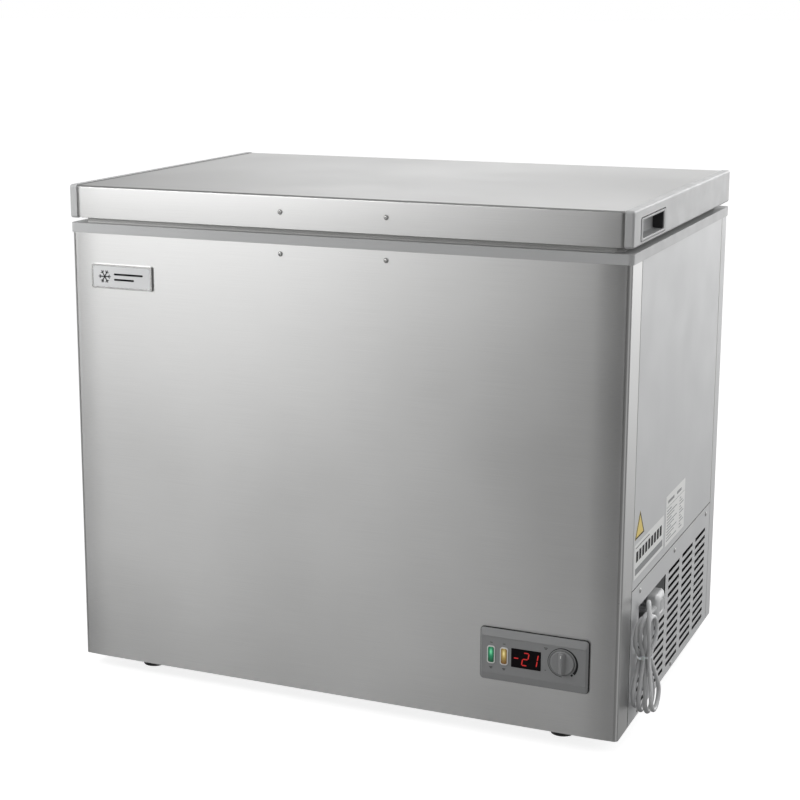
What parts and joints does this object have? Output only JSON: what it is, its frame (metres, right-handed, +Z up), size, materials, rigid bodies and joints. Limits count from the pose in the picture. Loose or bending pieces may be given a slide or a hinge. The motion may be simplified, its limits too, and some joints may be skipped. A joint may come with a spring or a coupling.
{
  "type": "chest freezer",
  "caption": "Free-standing chest freezer: insulated cabinet, rear-hinged lid, control panel low on the front, slotted compressor cover and tied power cord on the right side.",
  "frame": {"origin": "on the floor, under the middle of the box without the power cord", "axes": "+X to the right seen from the front, +Y to the back, +Z up; the controls face -Y"},
  "size_m": [0.995, 0.68, 0.85],
  "materials": {
    "stainless": "satin",
    "side_sheet": "satin",
    "galvanised": "satin",
    "foam": "matte",
    "liner": "satin",
    "trim_grey": "satin",
    "panel_grey": "satin",
    "cup_grey": "satin",
    "white_plastic": "gloss",
    "black_plastic": "satin",
    "rubber_black": "matte",
    "gasket": "matte",
    "copper": "satin",
    "black_paint": "satin",
    "screw_steel": "gloss",
    "zinc": "satin",
    "green_lens": "gloss",
    "amber_lens": "gloss",
    "display_black": "gloss",
    "circuit_board": "gloss",
    "badge_metal": "gloss",
    "badge_face": "satin",
    "label_white": "satin",
    "sticker_yellow": "satin",
    "basket_wire": "gloss",
    "basket_grip": "satin",
    "cord_grey": "satin",
    "plug_grey": "satin",
    "tie_white": "satin"
  },
  "bodies": {
    "cabinet": {"front_panel": "stainless", "side_panel_left": "side_sheet", "side_panel_right": "side_sheet", "rear_panel": "side_sheet", "base_pan": "galvanised", "insulation": "foam", "inner_liner": "liner", "top_collar": "trim_grey", "bay_partition": "galvanised", "evaporator_coil": "copper", "condenser_coil": "copper", "compressor_base": "galvanised", "compressor": "black_paint", "compressor_mounts": "rubber_black", "terminal_cover": "black_plastic", "filter_drier": "copper", "refrigerant_pipes": "copper", "compressor_grille": "side_sheet", "grille_screws": "screw_steel", "plug_pocket": "cup_grey", "cord_gland": "black_plastic", "control_bezel": "panel_grey", "control_fascia": "panel_grey", "lamp_frames": "white_plastic", "power_lamp": "green_lens", "freeze_lamp": "amber_lens", "display_window": "display_black", "display_board": "circuit_board", "thermostat_body": "zinc", "badge_frame": "badge_metal", "badge_insert": "badge_face", "lock_screws": "screw_steel", "feet": "rubber_black", "maker_label": "label_white", "data_label": "label_white", "corner_sticker": "sticker_yellow", "hinge_brackets": "zinc", "hinge_pins": "screw_steel", "bracket_screws": "screw_steel", "power_cord": "cord_grey", "cord_hank": "cord_grey", "cord_tie": "tie_white", "power_plug": "plug_grey"},
    "lid": {"lid_skin": "stainless", "lid_cap_left": "trim_grey", "lid_cap_right": "trim_grey", "grip_cup_left": "cup_grey", "grip_cup_right": "cup_grey", "lid_insulation": "foam", "lid_inner_panel": "white_plastic", "lid_gasket": "gasket", "lid_screws": "screw_steel", "hinge_leaves": "zinc", "leaf_screws": "screw_steel"},
    "knob": {"thermostat_knob": "panel_grey", "thermostat_shaft": "zinc"},
    "basket": {"wire_basket": "basket_wire", "basket_grips": "basket_grip"}
  },
  "joints": [
    {"name": "lid_hinge", "type": "hinge", "parent": "cabinet", "child": "lid", "pos_m": [0, 0.334, 0.784], "axis": [-1, 0, 0], "range_deg": [0, 78]},
    {"name": "knob_turn", "type": "hinge", "parent": "cabinet", "child": "knob", "pos_m": [0.3915, -0.332, 0.1435], "axis": [0, 1, 0], "range_deg": [-60, 135]},
    {"name": "basket_slide", "type": "slide", "parent": "cabinet", "child": "basket", "axis": [-1, 0, 0], "range_m": [0, 0.5]}
  ]
}
